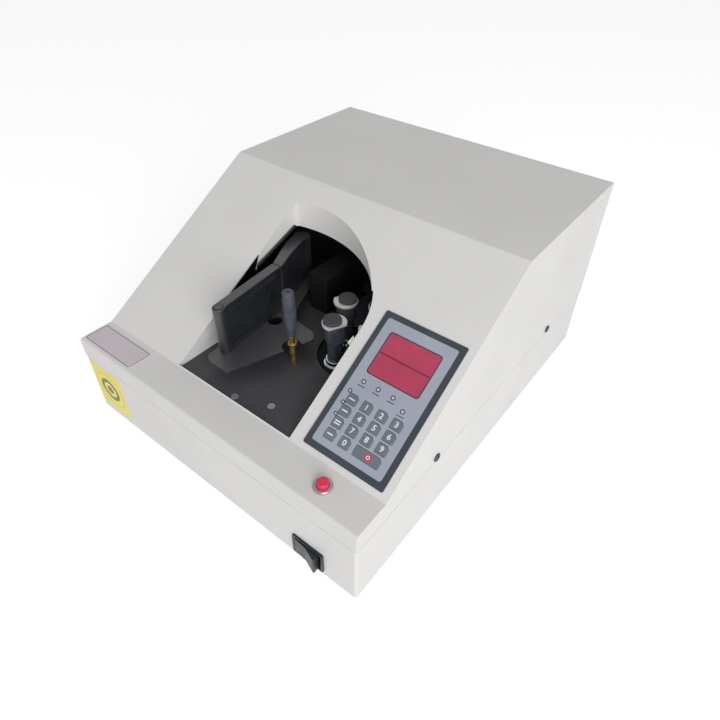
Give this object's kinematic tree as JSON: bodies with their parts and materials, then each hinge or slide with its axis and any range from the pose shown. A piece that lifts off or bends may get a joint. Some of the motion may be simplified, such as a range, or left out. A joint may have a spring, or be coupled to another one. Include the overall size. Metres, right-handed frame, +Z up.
{
  "type": "banknote counter",
  "caption": "Desktop banknote bundle counter with an open note bay, note clamp, guide roller, turret of suction spindles, keypad with display, push button and rocker switch.",
  "frame": {"origin": "on the ground under the middle of the machine, half way between the raised end of the rocker paddle and the flange of the mains inlet", "axes": "+X to the right seen from the front, +Y from the front to the back, +Z up"},
  "size_m": [0.3482, 0.4306, 0.216],
  "materials": {
    "case_paint": "powder coat",
    "black_plate": "satin black",
    "clamp_black": "satin black",
    "rubber": "matte",
    "screw_steel": "blackened",
    "machined_steel": "turned",
    "blackened_steel": "blackened",
    "cast_alloy": "cast",
    "chrome_ring": "polished",
    "spindle_black": "black and polished",
    "cap_rubber": "matte",
    "motor_paint": "semi-gloss",
    "belt_rubber": "matte",
    "circuit_board": "solder resist",
    "inlet_plastic": "moulded",
    "brass": "turned",
    "roller_nylon": "turned",
    "panel_film": "screen-printed film",
    "digit_block": "moulded",
    "red_filter": "clear red",
    "lamp": "diffused",
    "key_film": "embossed film",
    "bezel_grey": "moulded",
    "button_red": "moulded",
    "badge_metal": "anodised",
    "sticker_film": "vinyl"
  },
  "bodies": {
    "case": {"badge_plate": "badge_metal", "base_tray": "case_paint", "button_bezel": "bezel_grey", "chamber_wall": "black_plate", "clamp_actuator": "black_plate", "control_board": "circuit_board", "deck_plate": "black_plate", "display_digits": "digit_block", "display_window": "red_filter", "drive_belt": "belt_rubber", "drive_motor": "motor_paint", "guide_stud": "brass", "indicator_leds": "lamp", "keypad_board": "circuit_board", "keypad_panel": "panel_film", "mains_inlet": "inlet_plastic", "power_supply": "cast_alloy", "recess_liner": "case_paint", "rocker_frame": "inlet_plastic", "round_sticker": "sticker_film", "rubber_feet": "rubber", "screws": "screw_steel", "sun_gear": "machined_steel", "top_cover": "case_paint", "turret_housing": "cast_alloy", "vacuum_hose": "belt_rubber", "vacuum_pump": "motor_paint"},
    "turret": {"turret_drum": "blackened_steel", "spindle_collars": "chrome_ring"},
    "motor": {"motor_pulley": "machined_steel"},
    "clamp": {"clamp_plate": "clamp_black", "clamp_block": "clamp_black"},
    "jaw": {"clamp_rail": "clamp_black", "clamp_jaw": "clamp_black"},
    "roller": {"guide_roller": "roller_nylon"},
    "button": {"button_plunger": "button_red"},
    "rocker": {"rocker_paddle": "inlet_plastic"},
    "spindle_1": {"spindle_1": "spindle_black", "spindle_cap_1": "cap_rubber"},
    "spindle_2": {"spindle_2": "spindle_black", "spindle_cap_2": "cap_rubber"},
    "spindle_3": {"spindle_3": "spindle_black", "spindle_cap_3": "cap_rubber"},
    "spindle_4": {"spindle_4": "spindle_black", "spindle_cap_4": "cap_rubber"},
    "key_7": {"key_7": "key_film"},
    "key_8": {"key_8": "key_film"},
    "key_9": {"key_9": "key_film"},
    "key_4": {"key_4": "key_film"},
    "key_5": {"key_5": "key_film"},
    "key_6": {"key_6": "key_film"},
    "key_1": {"key_1": "key_film"},
    "key_2": {"key_2": "key_film"},
    "key_3": {"key_3": "key_film"},
    "key_0": {"key_0": "key_film"},
    "key_clear": {"key_clear": "key_film"},
    "key_mode": {"key_mode": "key_film"},
    "key_batch": {"key_batch": "key_film"},
    "key_add": {"key_add": "key_film"},
    "key_start": {"key_start": "key_film"}
  },
  "joints": [
    {"name": "turret_spin", "type": "hinge", "parent": "case", "child": "turret", "pos_m": [0.05, -0.05221, 0.0955], "axis": [0, 0, 1], "continuous": true},
    {"name": "spindle_1_spin", "type": "hinge", "parent": "turret", "child": "spindle_1", "pos_m": [0.04058, -0.07451, 0.0955], "axis": [0, 0, 1], "continuous": true},
    {"name": "spindle_2_spin", "type": "hinge", "parent": "turret", "child": "spindle_2", "pos_m": [0.02771, -0.0428, 0.0955], "axis": [0, 0, 1], "continuous": true},
    {"name": "spindle_3_spin", "type": "hinge", "parent": "turret", "child": "spindle_3", "pos_m": [0.05942, -0.02992, 0.0955], "axis": [0, 0, 1], "continuous": true},
    {"name": "spindle_4_spin", "type": "hinge", "parent": "turret", "child": "spindle_4", "pos_m": [0.07229, -0.06163, 0.0955], "axis": [0, 0, 1], "continuous": true},
    {"name": "motor_spin", "type": "hinge", "parent": "case", "child": "motor", "pos_m": [-0.0405, -0.09971, 0.0705], "axis": [0, 0, 1], "continuous": true},
    {"name": "clamp_swing", "type": "hinge", "parent": "case", "child": "clamp", "pos_m": [-0.063, -0.00771, 0.115], "axis": [0, 0, 1], "range_deg": [-8, 2]},
    {"name": "jaw_close", "type": "hinge", "parent": "clamp", "child": "jaw", "pos_m": [-0.0357, -0.13941, 0.115], "axis": [0, 0, -1], "range_deg": [0, 8]},
    {"name": "roller_spin", "type": "hinge", "parent": "case", "child": "roller", "pos_m": [0.011, -0.10011, 0.1325], "axis": [0, 0, 1], "continuous": true},
    {"name": "button_press", "type": "slide", "parent": "case", "child": "button", "axis": [0, 0, -1], "range_m": [0, 0.0025], "stiffness_N_per_m": 400},
    {"name": "rocker_tilt", "type": "hinge", "parent": "case", "child": "rocker", "pos_m": [0.1227, -0.20701, 0.0275], "axis": [0, 0, 1], "range_deg": [0, 24]},
    {"name": "key_7_press", "type": "slide", "parent": "case", "child": "key_7", "axis": [0, 0.5145, -0.8575], "range_m": [0, 0.0005], "stiffness_N_per_m": 400},
    {"name": "key_8_press", "type": "slide", "parent": "case", "child": "key_8", "axis": [0, 0.5145, -0.8575], "range_m": [0, 0.0005], "stiffness_N_per_m": 400},
    {"name": "key_9_press", "type": "slide", "parent": "case", "child": "key_9", "axis": [0, 0.5145, -0.8575], "range_m": [0, 0.0005], "stiffness_N_per_m": 400},
    {"name": "key_4_press", "type": "slide", "parent": "case", "child": "key_4", "axis": [0, 0.5145, -0.8575], "range_m": [0, 0.0005], "stiffness_N_per_m": 400},
    {"name": "key_5_press", "type": "slide", "parent": "case", "child": "key_5", "axis": [0, 0.5145, -0.8575], "range_m": [0, 0.0005], "stiffness_N_per_m": 400},
    {"name": "key_6_press", "type": "slide", "parent": "case", "child": "key_6", "axis": [0, 0.5145, -0.8575], "range_m": [0, 0.0005], "stiffness_N_per_m": 400},
    {"name": "key_1_press", "type": "slide", "parent": "case", "child": "key_1", "axis": [0, 0.5145, -0.8575], "range_m": [0, 0.0005], "stiffness_N_per_m": 400},
    {"name": "key_2_press", "type": "slide", "parent": "case", "child": "key_2", "axis": [0, 0.5145, -0.8575], "range_m": [0, 0.0005], "stiffness_N_per_m": 400},
    {"name": "key_3_press", "type": "slide", "parent": "case", "child": "key_3", "axis": [0, 0.5145, -0.8575], "range_m": [0, 0.0005], "stiffness_N_per_m": 400},
    {"name": "key_0_press", "type": "slide", "parent": "case", "child": "key_0", "axis": [0, 0.5145, -0.8575], "range_m": [0, 0.0005], "stiffness_N_per_m": 400},
    {"name": "key_clear_press", "type": "slide", "parent": "case", "child": "key_clear", "axis": [0, 0.5145, -0.8575], "range_m": [0, 0.0005], "stiffness_N_per_m": 400},
    {"name": "key_mode_press", "type": "slide", "parent": "case", "child": "key_mode", "axis": [0, 0.5145, -0.8575], "range_m": [0, 0.0005], "stiffness_N_per_m": 400},
    {"name": "key_batch_press", "type": "slide", "parent": "case", "child": "key_batch", "axis": [0, 0.5145, -0.8575], "range_m": [0, 0.0005], "stiffness_N_per_m": 400},
    {"name": "key_add_press", "type": "slide", "parent": "case", "child": "key_add", "axis": [0, 0.5145, -0.8575], "range_m": [0, 0.0005], "stiffness_N_per_m": 400},
    {"name": "key_start_press", "type": "slide", "parent": "case", "child": "key_start", "axis": [0, 0.5145, -0.8575], "range_m": [0, 0.0005], "stiffness_N_per_m": 400}
  ],
  "couplings": [
    {"joint": "spindle_1_spin", "follows": "turret_spin", "ratio": 1},
    {"joint": "spindle_2_spin", "follows": "turret_spin", "ratio": 1},
    {"joint": "spindle_3_spin", "follows": "turret_spin", "ratio": 1},
    {"joint": "spindle_4_spin", "follows": "turret_spin", "ratio": 1},
    {"joint": "motor_spin", "follows": "turret_spin", "ratio": 3.0071}
  ]
}
